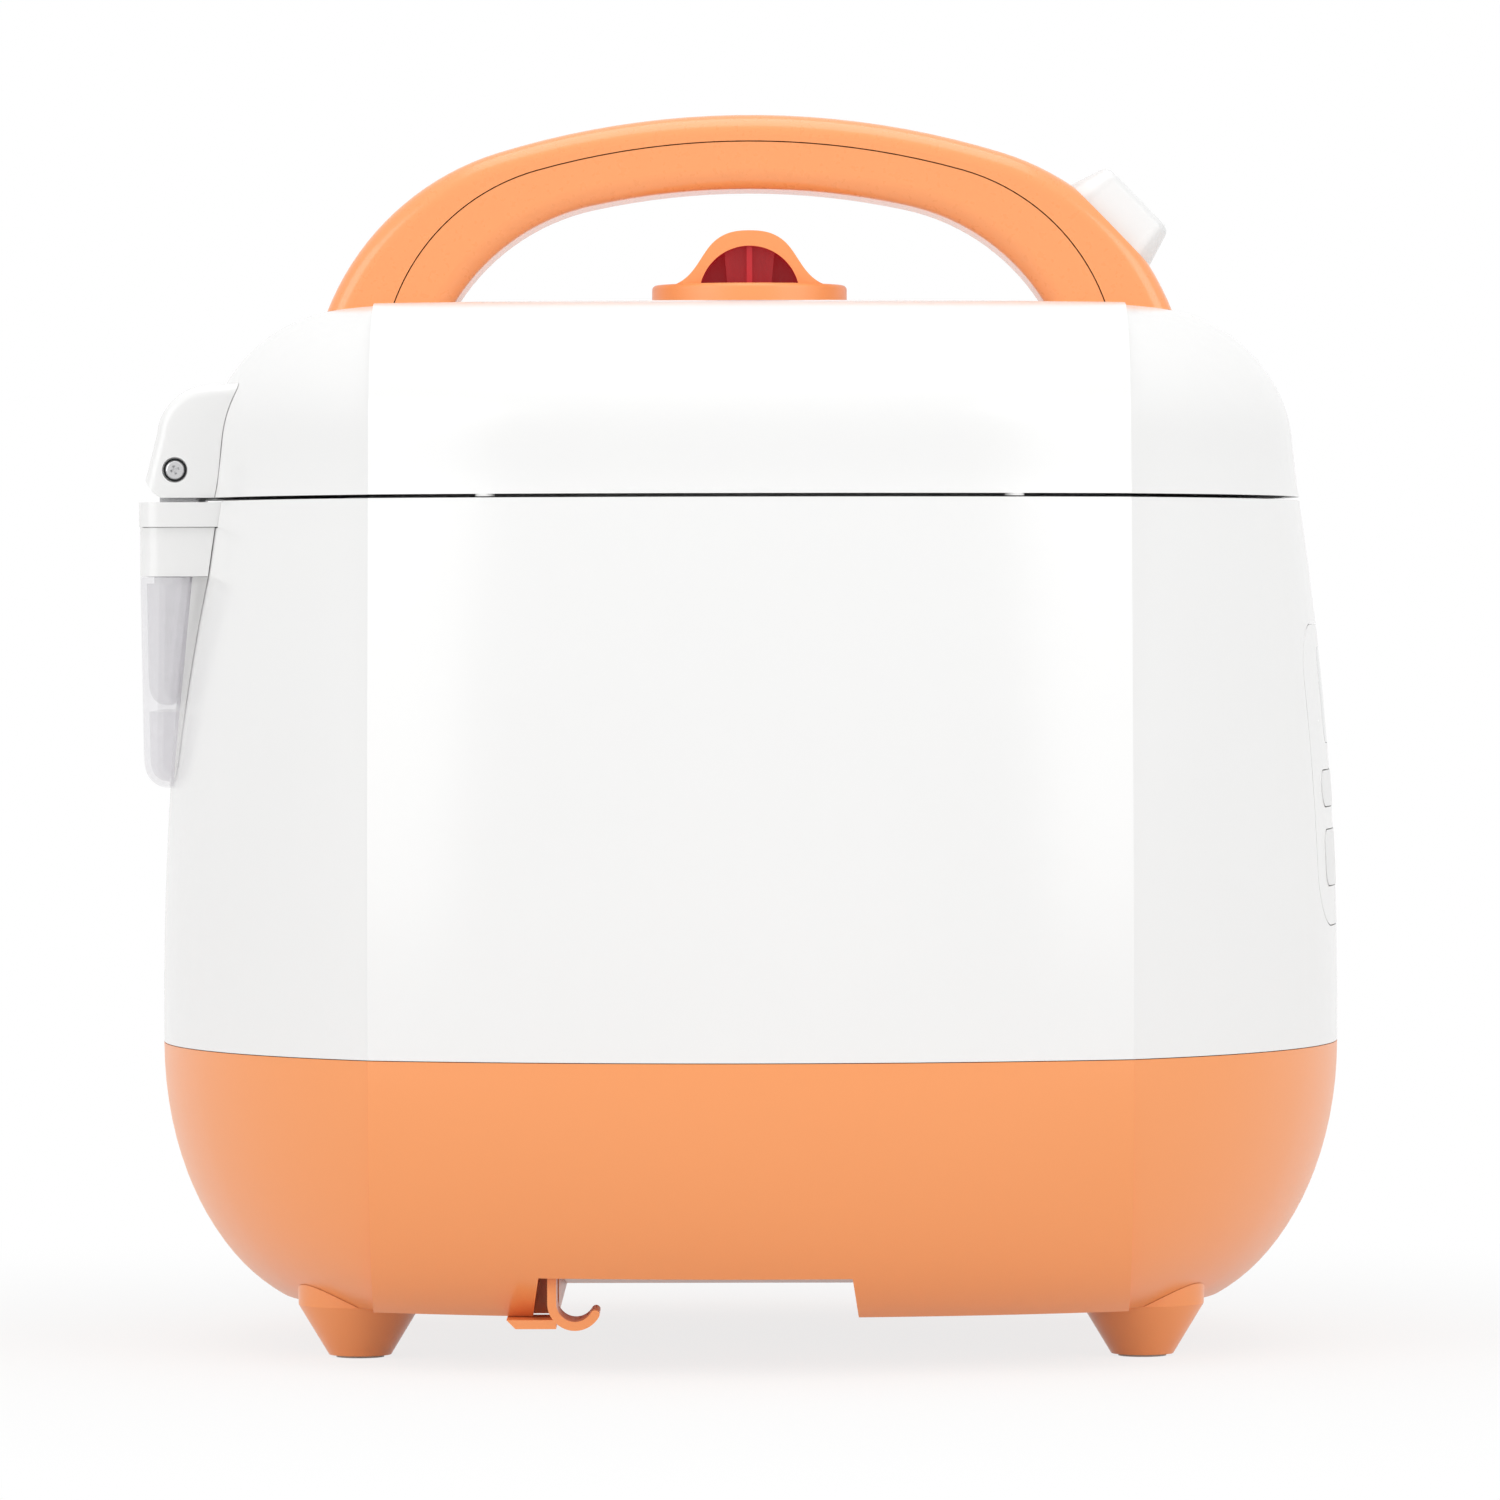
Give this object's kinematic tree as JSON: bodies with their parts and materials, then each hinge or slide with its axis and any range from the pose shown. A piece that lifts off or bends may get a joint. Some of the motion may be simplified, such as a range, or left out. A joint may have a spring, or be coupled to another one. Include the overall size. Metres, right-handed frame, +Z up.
{
  "type": "electric pressure cooker",
  "caption": "Countertop electric pressure cooker with a hinged lid, arched carry handle, release button, steam vent cap, rear drip cup and rounded two-tone body.",
  "frame": {"origin": "middle of the outline on the table plane, 1.9 mm behind the pot's axis", "axes": "+X towards the front with the release button, +Y to the far side of the picture, +Z up"},
  "size_m": [0.3038, 0.2598, 0.3128],
  "materials": {
    "white_shell": "gloss white",
    "orange_plastic": "satin pale orange",
    "clear_plastic": "clear",
    "grey_plastic": "matte",
    "panel_plastic": "gloss white",
    "key_plastic": "satin white",
    "display_glass": "pale",
    "rubber": "pale silicone",
    "steel": "zinc plated",
    "pot_metal": "coated grey",
    "heater_metal": "cast",
    "board": "circuit board",
    "fuse_ceramic": "plain"
  },
  "bodies": {
    "base": {"base_pan": "orange_plastic", "base_screws": "steel", "foot_front_far": "orange_plastic", "foot_rear_far": "orange_plastic", "foot_rear_near": "orange_plastic", "foot_front_near": "orange_plastic", "foot_pads": "rubber", "cord_hook": "orange_plastic", "cord_gland": "rubber", "body_shell": "white_shell", "top_rim": "white_shell", "latch_keeper": "steel", "inner_can": "steel", "inner_pot": "pot_metal", "heating_plate": "heater_metal", "side_heater": "steel", "thermal_fuse": "fuse_ceramic", "power_board": "board", "control_panel": "panel_plastic", "display_window": "display_glass", "control_board": "board", "hinge_bracket_near": "steel", "hinge_bracket_far": "steel", "sensor_spring": "steel"},
    "lid": {"hinge_pin": "steel", "hinge_screws": "steel", "hinge_cover": "white_shell", "hinge_spring_near": "steel", "hinge_spring_far": "steel", "lid_cover": "white_shell", "lid_liner": "grey_plastic", "liner_screws": "steel", "lid_bumpers": "rubber", "inner_lid": "pot_metal", "lid_gasket": "rubber", "valve_body": "grey_plastic", "valve_grommet": "rubber", "handle_upper": "orange_plastic", "handle_lower": "orange_plastic", "handle_screws": "steel", "latch_pin": "steel", "latch_spring": "steel"},
    "release_button": {"release_button": "white_shell"},
    "latch": {"latch_hook": "grey_plastic"},
    "steam_cap": {"steam_cap": "orange_plastic", "cap_seal": "rubber"},
    "relief_weight": {"relief_weight": "steel"},
    "drip_cup": {"drip_cup": "clear_plastic", "drip_collar": "white_shell"},
    "sensor": {"temperature_sensor": "heater_metal"},
    "start_key": {"start_key": "key_plastic"},
    "cancel_key": {"cancel_key": "key_plastic"},
    "menu_key": {"menu_key": "key_plastic"},
    "timer_key": {"timer_key": "key_plastic"}
  },
  "joints": [
    {"name": "lid_hinge", "type": "hinge", "parent": "base", "child": "lid", "pos_m": [-0.1429, 0, 0.2224], "axis": [0, -1, 0], "range_deg": [0, 88]},
    {"name": "button_press", "type": "slide", "parent": "lid", "child": "release_button", "axis": [-0.7169, 0, -0.6972], "range_m": [0, 0.003], "stiffness_N_per_m": 500, "springref_m": -0.002},
    {"name": "latch_turn", "type": "hinge", "parent": "lid", "child": "latch", "pos_m": [0.1099, 0, 0.243], "axis": [0, -1, 0], "range_deg": [0, 4.2], "deforming": ["latch_spring"]},
    {"name": "steam_cap_lift", "type": "slide", "parent": "lid", "child": "steam_cap", "axis": [0, 0, 1], "range_m": [0, 0.0095]},
    {"name": "relief_weight_lift", "type": "slide", "parent": "lid", "child": "relief_weight", "axis": [0, 0, 1], "range_m": [0, 0.0025]},
    {"name": "drip_cup_pull", "type": "slide", "parent": "base", "child": "drip_cup", "axis": [-1, 0, 0], "range_m": [0, 0.03]},
    {"name": "sensor_plunge", "type": "slide", "parent": "base", "child": "sensor", "axis": [0, 0, -1], "range_m": [0, 0.002], "stiffness_N_per_m": 600, "springref_m": -0.004, "deforming": ["sensor_spring"]},
    {"name": "start_press", "type": "slide", "parent": "base", "child": "start_key", "axis": [-1, 0, 0], "range_m": [0, 0.0008], "stiffness_N_per_m": 1500, "springref_m": -0.0004},
    {"name": "cancel_press", "type": "slide", "parent": "base", "child": "cancel_key", "axis": [-1, 0, 0], "range_m": [0, 0.0008], "stiffness_N_per_m": 1500, "springref_m": -0.0004},
    {"name": "menu_press", "type": "slide", "parent": "base", "child": "menu_key", "axis": [-1, 0, 0], "range_m": [0, 0.0008], "stiffness_N_per_m": 1500, "springref_m": -0.0004},
    {"name": "timer_press", "type": "slide", "parent": "base", "child": "timer_key", "axis": [-1, 0, 0], "range_m": [0, 0.0008], "stiffness_N_per_m": 1500, "springref_m": -0.0004}
  ],
  "couplings": [
    {"joint": "latch_turn", "follows": "button_press", "rad_per_m": 24.3}
  ]
}
